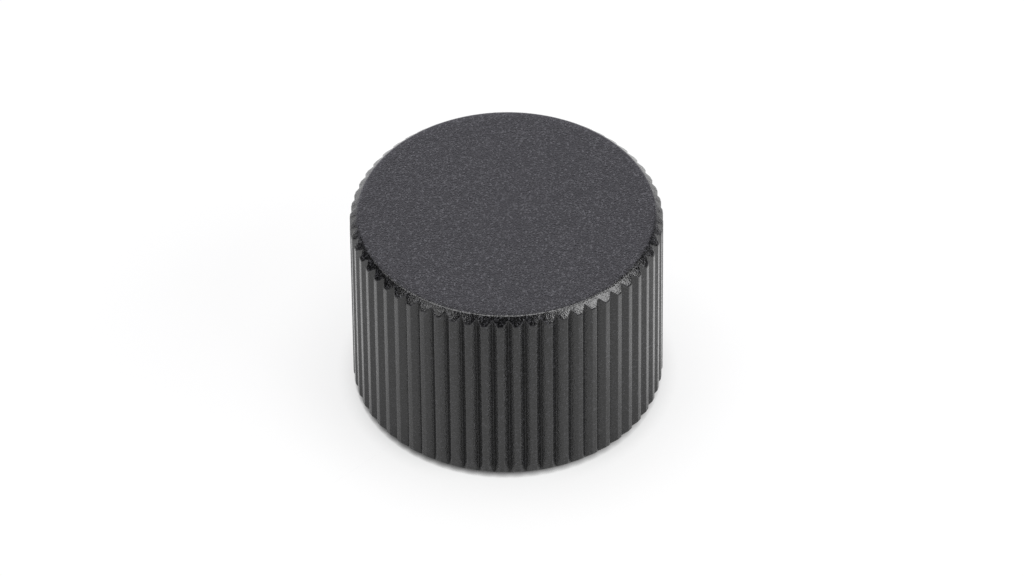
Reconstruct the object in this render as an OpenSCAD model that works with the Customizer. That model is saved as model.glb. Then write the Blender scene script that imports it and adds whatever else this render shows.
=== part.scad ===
// Keyboard knob: a turned aluminium knob with straight V flutes round its side, which one
// grub screw clamps on the shaft of a rotary encoder.
// The origin is the centre of the foot, Z runs up the knob's axis, and the screw enters
// from the back, along -Y.

/* [Body] */
// Diameter over the crests of the flutes
body_d = 19; // [17:0.5:30]
// Height from the foot to the top face
body_h = 13.2; // [11:0.1:20]
// Leg of the 45 degree chamfer round the top
top_chamfer = 0.5; // [0.45:0.05:1]
// Radius that softens the edge between the chamfer and the top face
rim_r = 0.15; // [0.05:0.05:0.4]
// Leg of the 45 degree chamfer round the foot
foot_chamfer = 0.5; // [0.1:0.05:0.8]

/* [Flutes] */
// Number of flutes round the side
flute_count = 60; // [40:1:66]
// Angle between the two flanks of a flute, in degrees
flute_angle = 96; // [80:1:104]
// Width of the land between two flutes, from flank to flank
land_w = 0.32; // [0.2:0.02:0.5]
// Radius that softens both edges of a land
land_edge_r = 0.04; // [0.02:0.01:0.12]
// Radius of the rounded root of a flute
root_r = 0.03; // [0.02:0.01:0.1]

/* [Underside] */
// Diameter of the encoder's shaft
shaft_d = 6; // [4:0.1:7]
// Gap between the shaft and its bore, on the radius
shaft_clearance = 0.05; // [0.01:0.01:0.1]
// Leg of the chamfer that leads the shaft into its bore
bore_lead_in = 0.3; // [0.1:0.05:0.6]
// Thickness of metal left above the blind end of the bore
top_thickness = 2; // [1:0.1:3]
// Largest diameter of the nut and washer that the recess swallows
nut_d = 12; // [9.5:0.1:13]
// Gap between the nut and the wall of the recess, on the radius
nut_clearance = 0.5; // [0.2:0.1:0.8]
// Depth of the recess from the foot
recess_depth = 4.5; // [3:0.1:5]
// Leg of the edge break round the mouth of the recess
recess_break = 0.2; // [0.1:0.05:0.4]

/* [Grub screw] */
// Nominal diameter of the screw's thread and its tapped hole
screw_d = 3; // [2:0.1:3.5]
// Gap between the screw and the wall of its hole, on the radius
screw_clearance = 0.05; // [0.02:0.01:0.1]
// Length of the screw
screw_length = 5; // [3:0.1:5.2]
// Gap between the wall of the shaft bore and the tip of the backed-off screw
screw_tip_gap = 0.2; // [0.1:0.05:0.6]
// Diameter of the rim of the screw's cup point
cup_d = 1.4; // [0.8:0.1:1.6]
// Depth of the cup in the screw's point
cup_depth = 0.3; // [0.1:0.05:0.5]
// Hexagon key size, across the flats
socket_af = 1.5; // [0.9:0.1:1.6]
// Depth of the hexagon socket
socket_depth = 1.6; // [1:0.1:2]
// Leg of the chamfer round the socket end
screw_end_break = 0.25; // [0.1:0.05:0.4]

/* [Hidden] */
$fn = 96;

edge_steps = 2;
root_steps = 2;
rim_steps = 4;
cut_over = 1;

body_r = body_d / 2;
top_r = body_r - top_chamfer;
bore_r = shaft_d / 2 + shaft_clearance;
bore_end = body_h - top_thickness;
recess_r = nut_d / 2 + nut_clearance;

// One flank of a flute, with X along the flute's centre line: the corner where it would meet the
// land, its direction outwards, and the direction from it into the metal.
half_pitch = 180 / flute_count;
flank_lean = flute_angle / 2;
corner_turn = half_pitch - asin(land_w / 2 / body_r);
corner = body_r * [cos(corner_turn), sin(corner_turn)];
flank_out = [cos(flank_lean), sin(flank_lean)];
flank_metal = [-sin(flank_lean), cos(flank_lean)];

// The root's arc touches both flanks. The edge's arc touches a flank, and the land from inside.
root_centre = [corner[0] - corner[1] / tan(flank_lean) + root_r / sin(flank_lean), 0];
edge_line = corner + land_edge_r * flank_metal;
edge_along = edge_line * flank_out;
edge_reach = sqrt(edge_along ^ 2 - edge_line * edge_line + (body_r - land_edge_r) ^ 2);
edge_centre = edge_line + (edge_reach - edge_along) * flank_out;
edge_turn = atan2(edge_centre[1], edge_centre[0]);

screw_hole_r = screw_d / 2;
screw_r = screw_hole_r - screw_clearance;
screw_z = (recess_depth + bore_end) / 2;
screw_tip = bore_r + screw_tip_gap;
cup_r = cup_d / 2;

function arc_points(centre, r, from, to, steps) =
    [for (k = [0 : steps])
        let (a = from + (to - from) * k / steps)
        centre + r * [cos(a), sin(a)]];

// One flute as a cutter along X. The first chord of each edge's arc runs on past the land.
module flute() {
    edge = arc_points(edge_centre, land_edge_r, edge_turn, flank_lean - 90, edge_steps);
    root = arc_points(root_centre, root_r, 90 + flank_lean, 180, root_steps);
    run_out = 2 * edge[0] - edge[1];
    side = concat(
        [[body_r + cut_over, run_out[1]], run_out],
        [for (k = [1 : edge_steps]) edge[k]],
        root
    );
    polygon(concat(
        side,
        [for (k = [len(side) - 2 : -1 : 0]) [side[k][0], -side[k][1]]]
    ));
}

// The fluted section, with the middle of one land on -Y.
module fluted_section() {
    difference() {
        circle(r = body_r);
        for (i = [0 : flute_count - 1])
            rotate((2 * i + 1) * half_pitch - 90)
                flute();
    }
}

// Half of the turned outline. Both chamfers run out past the crests.
module turned_outline() {
    rim_leg = rim_r * tan(22.5);
    rim_centre = [top_r - rim_leg, body_h - rim_r];
    reach = body_r + cut_over;
    polygon(concat(
        [[0, 0],
         [body_r - foot_chamfer, 0],
         [reach, foot_chamfer + cut_over],
         [reach, body_h - top_chamfer - cut_over]],
        [for (k = [0 : rim_steps])
            let (a = 45 + 45 * k / rim_steps)
            rim_centre + rim_r * [cos(a), sin(a)]],
        [[0, body_h]]
    ));
}

// The recess for the nut and the blind bore above it, as one turned cut.
module underside_cut() {
    rotate_extrude()
        polygon([
            [0, -cut_over],
            [recess_r + recess_break + cut_over, -cut_over],
            [recess_r, recess_break],
            [recess_r, recess_depth],
            [bore_r + bore_lead_in, recess_depth],
            [bore_r, recess_depth + bore_lead_in],
            [bore_r, bore_end],
            [0, bore_end]
        ]);
}

// Places a shape that stands on Z so that it points out of the back at the screw's height.
module at_screw(distance) {
    translate([0, distance, screw_z])
        rotate([-90, 0, 0])
            children();
}

module knob_body() {
    color([0.09, 0.09, 0.1])
        difference() {
            intersection() {
                linear_extrude(height = body_h)
                    fluted_section();
                rotate_extrude()
                    turned_outline();
            }
            underside_cut();
            at_screw(0)
                cylinder(h = body_r + cut_over, r = screw_hole_r);
        }
}

module grub_screw() {
    color([0.16, 0.16, 0.17])
        at_screw(screw_tip)
            difference() {
                rotate_extrude()
                    polygon([
                        [0, cup_depth],
                        [cup_r, 0],
                        [screw_r, screw_r - cup_r],
                        [screw_r, screw_length - screw_end_break],
                        [screw_r - screw_end_break, screw_length],
                        [0, screw_length]
                    ]);
                translate([0, 0, screw_length - socket_depth])
                    cylinder(h = socket_depth + cut_over, r = socket_af / 2 / cos(30), $fn = 6);
            }
}

knob_body();
grub_screw();
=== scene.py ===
from cmath import phase, rect
from math import asin, atan2, cos, pi, radians, sin, sqrt, tan

import bmesh
import bpy
from mathutils import Matrix, Vector


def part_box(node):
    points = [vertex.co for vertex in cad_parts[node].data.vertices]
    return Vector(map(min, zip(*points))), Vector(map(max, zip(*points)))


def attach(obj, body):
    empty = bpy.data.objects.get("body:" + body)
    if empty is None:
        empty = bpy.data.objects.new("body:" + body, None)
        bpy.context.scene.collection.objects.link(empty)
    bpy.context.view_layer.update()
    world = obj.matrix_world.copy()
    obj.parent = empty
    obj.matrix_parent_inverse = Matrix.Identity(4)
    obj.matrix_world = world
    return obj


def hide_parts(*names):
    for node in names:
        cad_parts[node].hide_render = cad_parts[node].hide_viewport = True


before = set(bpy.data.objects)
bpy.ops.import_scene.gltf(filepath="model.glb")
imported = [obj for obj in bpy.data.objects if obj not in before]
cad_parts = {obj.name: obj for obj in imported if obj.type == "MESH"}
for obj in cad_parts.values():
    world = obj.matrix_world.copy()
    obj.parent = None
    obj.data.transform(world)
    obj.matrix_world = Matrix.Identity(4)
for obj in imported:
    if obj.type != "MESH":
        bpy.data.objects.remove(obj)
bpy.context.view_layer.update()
bpy.ops.object.select_all(action="DESELECT")

# The knob body is one turned piece of aluminium with straight V flutes broached down its side.
# It is bead blasted all over, which softens its edges, and then anodised black.
# The underside is counterbored for the encoder's nut and bored blind for the shaft.
MM = 0.001
body_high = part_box("knob_body")[1]
body_r = body_high.x
body_h = body_high.z
top_chamfer = 0.5 * MM
top_r = body_r - top_chamfer
foot_chamfer = 0.5 * MM
foot_r = body_r - foot_chamfer
rim_soft = 0.085 * MM
tooth_soft = 0.08 * MM
flat_ring = 0.5 * MM
mid_wall = body_h / 2

flute_count = 60
flute_angle = radians(96)
land_w = 0.32 * MM
land_edge_r = 0.08 * MM
root_r = 0.02 * MM

recess_r = 6.5 * MM
recess_depth = 4.5 * MM
recess_break = 0.2 * MM
bore_r = 3.05 * MM
bore_lead_in = 0.3 * MM
bore_end = body_h - 2 * MM
near = 0.002 * MM

half_pitch = pi / flute_count
flank_lean = flute_angle / 2


def arc(centre, r, start, end, steps=5):
    """Points along an arc, as complex numbers."""
    return [centre + rect(r, start + (end - start) * k / steps) for k in range(steps + 1)]


def flute_side():
    """Half a flute from the middle of a land to its root, with the real axis on its centre line."""
    corner = rect(body_r, half_pitch - asin(land_w / 2 / body_r))
    flank_out = rect(1, flank_lean)
    flank_metal = rect(1, flank_lean + pi / 2)
    root_centre = corner.real - corner.imag / tan(flank_lean) + root_r / sin(flank_lean)
    edge_line = corner + land_edge_r * flank_metal
    edge_along = (edge_line * flank_out.conjugate()).real
    edge_reach = sqrt(edge_along**2 - abs(edge_line) ** 2 + (body_r - land_edge_r) ** 2)
    edge_centre = edge_line + (edge_reach - edge_along) * flank_out
    edge = arc(edge_centre, land_edge_r, phase(edge_centre), flank_lean - pi / 2)
    root = arc(root_centre, root_r, flank_lean + pi / 2, pi, steps=2)
    return [rect(body_r, half_pitch)] + edge + root


def select_points(test):
    """Selects the visible points that pass the test, with the edges and faces that join them."""
    mesh = bpy.context.edit_object.data
    bpy.ops.mesh.select_mode(type="VERT")
    bpy.ops.mesh.select_all(action="DESELECT")
    shape = bmesh.from_edit_mesh(mesh)
    for point in shape.verts:
        point.select = not point.hide and test(point.co)
    shape.select_flush(True)
    bmesh.update_edit_mesh(mesh)


def draw_line(points):
    """A new object, left in edit mode, of one line that is extruded from point to point.

    It starts as a plane, of which one corner is kept and moved to the first point.
    """
    corner = Vector((MM, MM, 0))
    bpy.ops.object.select_all(action="DESELECT")
    bpy.ops.mesh.primitive_plane_add(size=2 * MM)
    bpy.ops.object.mode_set(mode="EDIT")
    select_points(lambda co: co.x < 0 or co.y < 0)
    bpy.ops.mesh.delete(type="VERT")
    bpy.ops.mesh.select_all(action="SELECT")
    bpy.ops.transform.translate(value=Vector(points[0]) - corner)
    for here, there in zip(points, points[1:]):
        step = Vector(there) - Vector(here)
        bpy.ops.mesh.extrude_region_move(TRANSFORM_OT_translate={"value": step})
    return bpy.context.object


# One flute is drawn half way up the wall, from land to land, and copied round the axis.
side = flute_side()
one_flute = [p * rect(1, half_pitch) for p in [p.conjugate() for p in side] + side[-2::-1]]
knob = draw_line([(p.real, p.imag, mid_wall) for p in one_flute])
knob.name = "fluted_body"
knob.data.name = "fluted_body"
bpy.ops.mesh.select_all(action="SELECT")
bpy.ops.mesh.spin(
    steps=flute_count - 1, dupli=True, angle=2 * (pi - half_pitch), center=(0, 0, 0), axis=(0, 0, 1)
)
bpy.ops.mesh.select_all(action="SELECT")
bpy.ops.mesh.remove_doubles(threshold=near)

columns = [(half_pitch - phase(p), abs(p)) for p in side]
same_column = 0.0002


def land_turn(co):
    """How far round the axis a point lies from the middle of the nearest land."""
    turn = atan2(co.y, co.x) % (2 * half_pitch)
    return min(turn, 2 * half_pitch - turn)


def sweep_ring(path_of):
    """Extrudes the selected ring along a path of radius and height, worked out for each column."""
    for step in range(len(path_of(body_r)) - 1):
        bpy.ops.mesh.extrude_region_move()
        bpy.ops.mesh.hide(unselected=True)
        for column_turn, r in columns:
            (old_r, old_z), (new_r, new_z) = path_of(r)[step:step + 2]
            select_points(lambda co: abs(land_turn(co) - column_turn) < same_column)
            scale = new_r / old_r
            bpy.ops.transform.resize(value=(scale, scale, 1), center_override=(0, 0, 0))
            bpy.ops.transform.translate(value=(0, 0, new_z - old_z))
        bpy.ops.mesh.select_all(action="SELECT")
    bpy.ops.mesh.edge_face_add()
    bpy.ops.mesh.reveal(select=False)


def soft_corner(before, corner, after, size, steps=3):
    """A corner of a path, rounded off from a given size before it to the same size after it."""
    start = Vector(corner) + (Vector(before) - Vector(corner)).normalized() * size
    end = Vector(corner) + (Vector(after) - Vector(corner)).normalized() * size
    ends = [start.lerp(Vector(corner), k / steps).lerp(Vector(corner).lerp(end, k / steps), k / steps)
            for k in range(steps + 1)]
    return [tuple(point) for point in ends]


def wall_path(r):
    """Up the wall, round the tooth that the flute leaves on the chamfer, and over the rim."""
    start = (r, mid_wall)
    tooth = (r, body_h - top_chamfer + body_r - r)
    rim = (top_r, body_h)
    flat = (top_r - flat_ring, body_h)
    return (
        [start]
        + soft_corner(start, tooth, rim, tooth_soft)
        + soft_corner(tooth, rim, flat, rim_soft)
        + [flat]
    )


def underside_path(r):
    """Down the wall, round the tooth at the foot's chamfer, and up the recess and the bore."""
    start = (r, mid_wall)
    tooth = (r, foot_chamfer - body_r + r)
    foot = (foot_r, 0)
    mouth = (recess_r + recess_break, 0)
    return (
        [start]
        + soft_corner(start, tooth, foot, tooth_soft)
        + soft_corner(tooth, foot, mouth, tooth_soft)
        + [
            mouth,
            (recess_r, recess_break),
            (recess_r, recess_depth),
            (bore_r + bore_lead_in, recess_depth),
            (bore_r, recess_depth + bore_lead_in),
            (bore_r, bore_end),
        ]
    )


for path_of in (wall_path, underside_path):
    select_points(lambda co: abs(co.z - mid_wall) < near)
    sweep_ring(path_of)
bpy.ops.mesh.select_all(action="SELECT")
bpy.ops.mesh.normals_make_consistent(inside=False)
bpy.ops.object.mode_set(mode="OBJECT")

# The tapped hole for the grub screw runs from the back into the bore, and its thread is cut in full.
screw_low, screw_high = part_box("grub_screw")
screw_z = (screw_low.z + screw_high.z) / 2
thread_pitch = 0.5 * MM
thread_depth = 0.27 * MM
tapped_r = 1.5 * MM
thread_turns = 24
thread_steps = 40
thread_weld = 0.0005 * MM
crisp_angle = radians(32)


def threaded_rod(crest):
    """A rod on the screw's axis with a thread of that outer radius, from the knob's axis outwards."""
    root = crest - thread_depth
    land = thread_pitch / 8
    rise = (thread_pitch - 2 * land) / 2
    heights = (0, land / 2, land / 2 + rise, 3 * land / 2 + rise, 3 * land / 2 + 2 * rise, thread_pitch)
    rod = draw_line([(r, 0, z) for r, z in zip((root, root, crest, crest, root, root), heights)])
    bpy.ops.object.mode_set(mode="OBJECT")
    sweep = rod.modifiers.new("thread", "SCREW")
    sweep.screw_offset = thread_pitch
    sweep.iterations = thread_turns
    sweep.steps = thread_steps
    sweep.render_steps = thread_steps
    bpy.ops.object.modifier_apply(modifier=sweep.name)
    bpy.ops.object.mode_set(mode="EDIT")
    bpy.ops.mesh.select_all(action="SELECT")
    bpy.ops.mesh.remove_doubles(threshold=thread_weld)
    bpy.ops.mesh.fill_holes(sides=0)
    bpy.ops.mesh.select_all(action="SELECT")
    bpy.ops.mesh.normals_make_consistent(inside=False)
    if bmesh.from_edit_mesh(rod.data).calc_volume(signed=True) < 0:
        bpy.ops.mesh.flip_normals()
    bpy.ops.object.mode_set(mode="OBJECT")
    point_backwards(rod)
    return rod


def point_backwards(piece):
    """Lays a piece that stands on Z along +Y at the screw's height, with its place in its mesh."""
    piece.rotation_euler = (-pi / 2, 0, 0)
    piece.location = (0, 0, screw_z)
    bpy.ops.object.select_all(action="DESELECT")
    piece.select_set(True)
    bpy.context.view_layer.objects.active = piece
    bpy.ops.object.transform_apply(location=True, rotation=True, scale=True)


def combine(piece, tool, operation):
    """Cuts or trims a piece with a closed tool, which is then removed."""
    bpy.ops.object.select_all(action="DESELECT")
    bpy.context.view_layer.objects.active = piece
    cut = piece.modifiers.new("cut", "BOOLEAN")
    cut.operation = operation
    cut.solver = "EXACT"
    cut.object = tool
    bpy.ops.object.modifier_apply(modifier=cut.name)
    bpy.data.objects.remove(tool)


def smooth(piece):
    """Shades a piece smooth, with its sharp edges left crisp and its broad faces left flat."""
    bpy.ops.object.select_all(action="DESELECT")
    piece.select_set(True)
    bpy.context.view_layer.objects.active = piece
    bpy.ops.object.shade_smooth_by_angle(angle=crisp_angle)
    flats = piece.modifiers.new("flats", "WEIGHTED_NORMAL")
    flats.keep_sharp = True
    bpy.ops.object.modifier_apply(modifier=flats.name)


combine(knob, threaded_rod(tapped_r), "DIFFERENCE")
smooth(knob)


class Shade:
    """One output of a shader node. Sums on it add Math nodes to its tree."""

    def __init__(self, tree, output=None):
        self.tree = tree
        self.output = output

    def make(self, kind, sockets, out=0, **settings):
        """Adds a node, with its settings first and then the values or links of its sockets."""
        node = self.tree.nodes.new(kind)
        for name, value in settings.items():
            setattr(node, name, value)
        for name, value in sockets.items():
            if isinstance(value, Shade):
                self.tree.links.new(value.output, node.inputs[name])
            else:
                node.inputs[name].default_value = value
        return Shade(self.tree, node.outputs[out] if node.outputs else None)

    def blend(self, factor, a, b):
        """A mix of two colours."""
        return self.make("ShaderNodeMix", {0: factor, 6: a, 7: b}, out=2, data_type="RGBA")

    def ramp(self, value, low, high):
        """A smooth rise from 0 to 1 as the value goes from low to high."""
        return self.make(
            "ShaderNodeMapRange", {"Value": value, "From Min": low, "From Max": high},
            interpolation_type="SMOOTHSTEP",
        )

    def maths(self, operation, a, b=0.0):
        """A Math node on one or two values."""
        return self.make("ShaderNodeMath", {0: a, 1: b}, operation=operation)

    def __add__(self, other):
        return self.maths("ADD", self, other)

    def __sub__(self, other):
        return self.maths("SUBTRACT", self, other)

    def __rsub__(self, other):
        return self.maths("SUBTRACT", other, self)

    def __mul__(self, other):
        return self.maths("MULTIPLY", self, other)

    __radd__ = __add__
    __rmul__ = __mul__


def new_material(name):
    """An empty node material, and the wrapped tree that its nodes go into."""
    material = bpy.data.materials.new(name)
    material.use_nodes = True
    material.node_tree.nodes.clear()
    return material, Shade(material.node_tree)


def black_anodise():
    """Dyed oxide on bead-blasted aluminium: overlapping dimples, fine grit and painted glints."""
    material, shade = new_material("black_anodise")
    dimple_size = 0.09 * MM
    facet_size = 0.08 * MM
    blast_depth = 0.012 * MM
    grit_share = 0.6
    glint_rarity = 5.0
    dyed_black = (0.0005, 0.0005, 0.0006, 1)
    painted_glint_colour = (0.066, 0.066, 0.071, 1)
    smoothest = 0.16
    roughness_range = 0.14
    place = shade.make("ShaderNodeTexCoord", {}, out="Object")
    dimples = shade.make(
        "ShaderNodeTexVoronoi", {"Vector": place, "Scale": 1 / dimple_size, "Smoothness": 0.3},
        out="Distance", feature="SMOOTH_F1",
    )
    grit = shade.make(
        "ShaderNodeTexNoise", {"Vector": place, "Scale": 1 / facet_size, "Detail": 2.0, "Roughness": 0.6}
    )
    facets = shade.make("ShaderNodeTexVoronoi", {"Vector": place, "Scale": 1 / facet_size}, out="Color")
    tone = shade.make("ShaderNodeSeparateColor", {"Color": facets}, out="Red")
    # Painted glints: a few random facets get a pale base colour that stands in for their sparkle.
    glint_pick = shade.make("ShaderNodeSeparateColor", {"Color": facets}, out="Green")
    painted_glint = shade.maths("POWER", glint_pick, glint_rarity)
    colour = shade.blend(painted_glint, dyed_black, painted_glint_colour)
    normal = shade.make(
        "ShaderNodeBump",
        {"Height": dimples + grit * grit_share, "Strength": 1.0, "Distance": blast_depth},
    )
    surface = shade.make(
        "ShaderNodeBsdfPrincipled",
        {
            "Base Color": colour,
            "Roughness": smoothest + tone * roughness_range,
            "Normal": normal,
            "Metallic": 0.0,
            "IOR": 1.6,
        },
    )
    shade.make("ShaderNodeOutputMaterial", {"Surface": surface})
    return material


knob.data.materials.clear()
knob.data.materials.append(black_anodise())
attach(knob, "root")
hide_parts("knob_body")

# The grub screw is a hexagon-socket set screw of blackened steel with a cup point.
# It is rolled with a fine thread, and sits in the tapped hole at the back, just short of the bore.
screw_length = screw_high.y - screw_low.y
screw_r = (screw_high.x - screw_low.x) / 2
cup_r = 0.7 * MM
cup_depth = 0.3 * MM
cup_lip = 0.08 * MM
cup_floor_r = 0.04 * MM
end_chamfer = 0.25 * MM
end_face_r = screw_r - end_chamfer
blank_allowance = 0.1 * MM
blank_r = screw_r + blank_allowance
blank_sides = 64
socket_across_flats = 1.5 * MM
socket_r = socket_across_flats / 2 / cos(pi / 6)
socket_depth = 1.6 * MM
socket_cone = 0.3 * MM
socket_cone_tip = 0.1


def extrude(z=0.0, scale=1.0):
    """Extrudes what is selected, lifts it and scales it about the axis."""
    bpy.ops.mesh.extrude_region_move(TRANSFORM_OT_translate={"value": (0, 0, z)})
    bpy.ops.transform.resize(value=(scale, scale, 1), center_override=(0, 0, 0))


# The blank trims the thread: its ends are a coned, cupped point and a chamfered socket end.
bpy.ops.object.select_all(action="DESELECT")
bpy.ops.mesh.primitive_circle_add(vertices=blank_sides, radius=cup_r, fill_type="NOTHING")
blank = bpy.context.object
bpy.ops.object.mode_set(mode="EDIT")
bpy.ops.mesh.select_all(action="SELECT")
bpy.ops.transform.translate(value=(0, 0, screw_low.y))
extrude(z=blank_r - cup_r, scale=blank_r / cup_r)
extrude(z=screw_length - (blank_r - cup_r) - (blank_r - end_face_r))
extrude(z=blank_r - end_face_r, scale=end_face_r / blank_r)
bpy.ops.mesh.edge_face_add()
select_points(lambda co: co.z < screw_low.y + near)
bpy.ops.mesh.edge_face_add()
bpy.ops.mesh.inset(thickness=cup_lip)
bpy.ops.mesh.inset(thickness=cup_r - cup_lip - cup_floor_r)
bpy.ops.transform.translate(value=(0, 0, cup_depth))
bpy.ops.mesh.select_all(action="SELECT")
bpy.ops.mesh.normals_make_consistent(inside=False)
bpy.ops.object.mode_set(mode="OBJECT")
point_backwards(blank)

# The socket: a hexagonal punch with a coned end.
bpy.ops.object.select_all(action="DESELECT")
bpy.ops.mesh.primitive_cylinder_add(
    vertices=6, radius=socket_r, depth=2 * socket_depth, location=(0, 0, screw_high.y)
)
punch = bpy.context.object
bpy.ops.object.transform_apply(location=True)
bpy.ops.object.mode_set(mode="EDIT")
select_points(lambda co: co.z < screw_high.y)
extrude(z=-socket_cone, scale=socket_cone_tip)
bpy.ops.mesh.select_all(action="SELECT")
bpy.ops.mesh.normals_make_consistent(inside=False)
bpy.ops.object.mode_set(mode="OBJECT")
point_backwards(punch)

grub = threaded_rod(screw_r)
grub.name = "grub_screw_threaded"
grub.data.name = "grub_screw_threaded"
combine(grub, blank, "INTERSECT")
combine(grub, punch, "DIFFERENCE")
smooth(grub)


def black_oxide():
    """Steel blackened in hot salts: dark, a little oily, with faint brown where the coat is thin."""
    material, shade = new_material("black_oxide")
    grain_size = 0.25 * MM
    grain_depth = 0.01 * MM
    full_coat = (0.05, 0.05, 0.054, 1)
    thin_coat = (0.1, 0.095, 0.09, 1)
    smoothest = 0.28
    roughness_range = 0.2
    place = shade.make("ShaderNodeTexCoord", {}, out="Object")
    grain = shade.make("ShaderNodeTexNoise", {"Vector": place, "Scale": 1 / grain_size, "Detail": 4.0})
    normal = shade.make("ShaderNodeBump", {"Height": grain, "Strength": 0.2, "Distance": grain_depth})
    surface = shade.make(
        "ShaderNodeBsdfPrincipled",
        {
            "Base Color": shade.blend(grain, full_coat, thin_coat),
            "Roughness": smoothest + grain * roughness_range,
            "Normal": normal,
            "Metallic": 1.0,
        },
    )
    shade.make("ShaderNodeOutputMaterial", {"Surface": surface})
    return material


grub.data.materials.clear()
grub.data.materials.append(black_oxide())
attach(grub, "root")
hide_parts("grub_screw")

# The table is a plain white sweep that the knob stands on. It shows white to the camera and in
# reflections, with a soft shadow at the knob's foot that is partly real, on its matt grey, and mostly
# painted into its glow.
table_size = 4.0
bpy.ops.object.select_all(action="DESELECT")
bpy.ops.mesh.primitive_plane_add(size=table_size)
table = bpy.context.object
table.name = "table"


def occlusion(shade, reach):
    """How open a point is within the reach: 1 in the open, and less close to the knob."""
    return shade.make("ShaderNodeAmbientOcclusion", {"Distance": reach}, out="AO", samples=8)


def white_table():
    """Matt, with enough glow of its own for the camera to show it white, but little under the knob.

    Reflections see a painted brightening of it to both sides and behind, past what the camera can show.
    The shadow is painted into the glow, tight at the foot, wider at both sides and deeper on the left.
    """
    material, shade = new_material("white_table")
    matt_grey = (0.15, 0.15, 0.15, 1)
    camera_glow = 0.835
    mirror_glow = 0.7
    right_gain = 0.45
    left_gain = 0.32
    back_gain = 0.15
    slant = 0.5
    side_rise = (6.5 * MM, 14 * MM)
    right_fade = (25 * MM, 60 * MM)
    left_fade = (-25 * MM, -60 * MM)
    back_rise = (7 * MM, 25 * MM)
    aside_rise = (2 * MM, 8 * MM)
    contact_reach = 0.35 * MM
    skirt_reach = 1.2 * MM
    nearby_reach = 6 * MM
    skirt_share = 0.28
    nearby_share = 0.15
    left_lean = 0.06 / MM
    matt = shade.make("ShaderNodeBsdfDiffuse", {"Color": matt_grey})
    place = shade.make("ShaderNodeTexCoord", {}, out="Object")
    across = shade.make("ShaderNodeSeparateXYZ", {"Vector": place}, out="X")
    along = shade.make("ShaderNodeSeparateXYZ", {"Vector": place}, out="Y") * slant
    # Painted light: reflections see the table brighter to the right, to the left and behind, away from the
    # knob.
    right_side = shade.ramp(along + across, *side_rise) - shade.ramp(across, *right_fade)
    left_side = shade.ramp(along - across, *side_rise) - shade.ramp(across, *left_fade)
    behind = shade.ramp(along, *back_rise)
    camera_ray = shade.make("ShaderNodeLightPath", {}, out="Is Camera Ray")
    glossy_ray = shade.make("ShaderNodeLightPath", {}, out="Is Glossy Ray")
    glass_ray = shade.make("ShaderNodeLightPath", {}, out="Is Transmission Ray")
    mirrored = shade.maths("MAXIMUM", glossy_ray, glass_ray)
    sides = right_side * right_gain + left_side * left_gain + behind * back_gain
    level = camera_ray * camera_glow + mirrored * (mirror_glow + sides)
    # Painted shadow: the glow is darkened by occlusion close to the knob, at the foot, a little wider at
    # the sides and deeper on the left.
    skirt_shadow_sides = shade.ramp(shade.maths("ABSOLUTE", across), *aside_rise)
    painted_contact_shadow = shade.maths("POWER", occlusion(shade, contact_reach), 1.0 - across * left_lean)
    painted_skirt_shadow = 1.0 - skirt_shadow_sides * (1.0 - occlusion(shade, skirt_reach)) * skirt_share
    painted_nearby_shadow = (1.0 - nearby_share) + occlusion(shade, nearby_reach) * nearby_share
    glow = shade.make("ShaderNodeEmission", {"Color": level * (painted_contact_shadow * painted_skirt_shadow * painted_nearby_shadow), "Strength": 1.0})
    surface = shade.make("ShaderNodeAddShader", {0: matt, 1: glow})
    shade.make("ShaderNodeOutputMaterial", {"Surface": surface})
    return material


table.data.materials.append(white_table())

# The studio is a dim room with a pale backdrop, which is duller to the right, and a low glow in front.
# A soft box hangs overhead. A bright one to the right lights the right of the chamfer, and a weaker
# one stands to the left.
room_level = 0.05
panel_level = 1.16
panel_lean = 0.06
panel_edge = (0.56, 0.8)
panel_fall = 0.45
fall_edge = (0.05, 0.4)
front_level = 0.6
front_edge = (-0.2, -0.7)
front_top = (0.4, 0.1)
room_tint = (0.98, 0.96, 1.08, 1)
white = (1, 1, 1, 1)
world = bpy.data.worlds.new("studio")
bpy.context.scene.world = world
world.use_nodes = True
world.node_tree.nodes.clear()
sky = Shade(world.node_tree)
direction = sky.make("ShaderNodeTexCoord", {}, out="Generated")
towards_back = sky.make("ShaderNodeSeparateXYZ", {"Vector": direction}, out="Y")
towards_right = sky.make("ShaderNodeSeparateXYZ", {"Vector": direction}, out="X")
height = sky.make("ShaderNodeSeparateXYZ", {"Vector": direction}, out="Z")
duller = sky.ramp(towards_right, *fall_edge) * panel_fall
panel = sky.ramp(towards_back + height * panel_lean, *panel_edge) * (panel_level - duller)
front = sky.ramp(towards_back, *front_edge) * sky.ramp(height, *front_top)
backdrop = room_level + panel + front * front_level
camera_ray = sky.make("ShaderNodeLightPath", {}, out="Is Camera Ray")
level = camera_ray + (1 - camera_ray) * backdrop
tint = sky.blend(camera_ray, room_tint, white)
background = sky.make("ShaderNodeBackground", {"Color": tint, "Strength": level})
sky.make("ShaderNodeOutputWorld", {"Surface": background})


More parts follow.
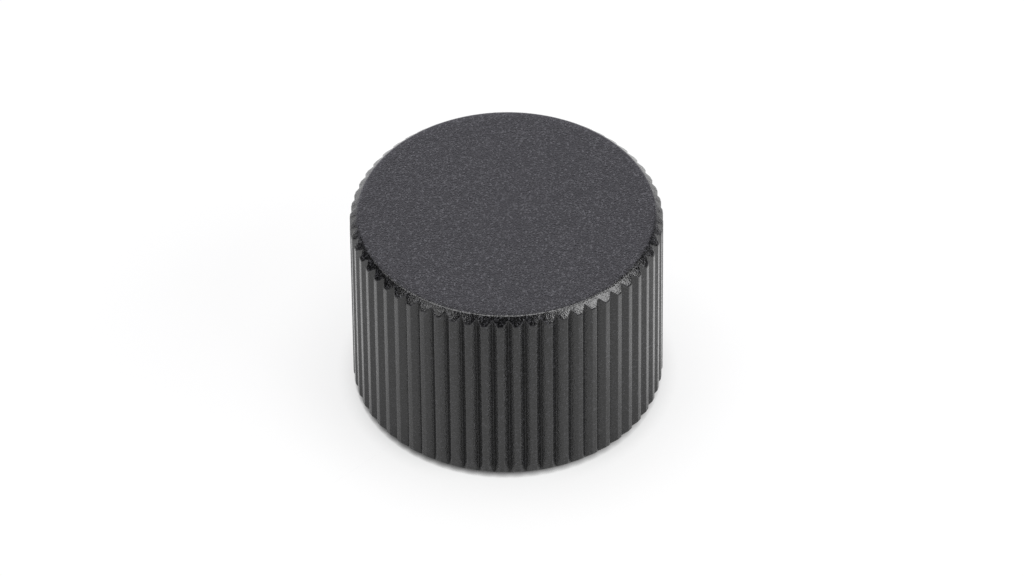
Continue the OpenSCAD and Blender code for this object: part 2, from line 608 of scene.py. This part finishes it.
def soft_box(name, towards, along, size, brightness, distance=0.8):
    """A rectangular lamp that faces the knob from a direction, with its long side along another."""
    lamp = bpy.data.lights.new(name, "AREA")
    lamp.shape = "RECTANGLE"
    lamp.size, lamp.size_y = size
    lamp.energy = pi * brightness * size[0] * size[1]
    box = bpy.data.objects.new(name, lamp)
    bpy.context.scene.collection.objects.link(box)
    out = Vector(towards).normalized()
    across = (Vector(along) - out * out.dot(Vector(along))).normalized()
    box.location = out * distance
    box.rotation_euler = Matrix((across, out.cross(across), out)).transposed().to_euler()


soft_box(
    "soft_box_right", towards=(0.763, -0.268, 0.588), along=(0.48, 0.67, -0.27), size=(0.61, 0.34),
    brightness=6.4,
)
soft_box(
    "soft_box_left", towards=(-0.62, -0.46, 0.63), along=(0.0, 0.0, 1.0), size=(0.28, 0.28),
    brightness=3.2,
)
soft_box(
    "soft_box_overhead", towards=(-0.04, 0.1, 0.99), along=(1.0, 0.0, 0.0), size=(1.0, 0.36),
    brightness=4.7,
)

# The camera looks down on the knob through a long lens, from the photograph's own angle.
# It is placed by where the middle of the knob's top stands in the picture.
camera_azimuth = radians(2.62)
camera_elevation = radians(43.8)
camera_roll = radians(-0.6)
camera_depth = 553.7 * MM
top_centre_right = -0.341 * MM
top_centre_up = 4.544 * MM
sensor_width = 36
lens = 321.7

lens_data = bpy.data.cameras.new("camera")
lens_data.sensor_width = sensor_width
lens_data.lens = lens
lens_data.clip_start = 0.01
camera = bpy.data.objects.new("camera", lens_data)
bpy.context.scene.collection.objects.link(camera)
bpy.context.scene.camera = camera
back = Vector((
    sin(camera_azimuth) * cos(camera_elevation),
    -cos(camera_azimuth) * cos(camera_elevation),
    sin(camera_elevation),
))
level_right = Vector((cos(camera_azimuth), sin(camera_azimuth), 0))
level_up = back.cross(level_right)
right = level_right * cos(camera_roll) + level_up * sin(camera_roll)
up = back.cross(right)
turn = Matrix((right, up, back)).transposed()
top_centre = Vector((0, 0, body_h))
camera.location = top_centre + back * camera_depth - right * top_centre_right - up * top_centre_up
camera.rotation_euler = turn.to_euler()

bpy.context.scene.view_settings.view_transform = "Standard"
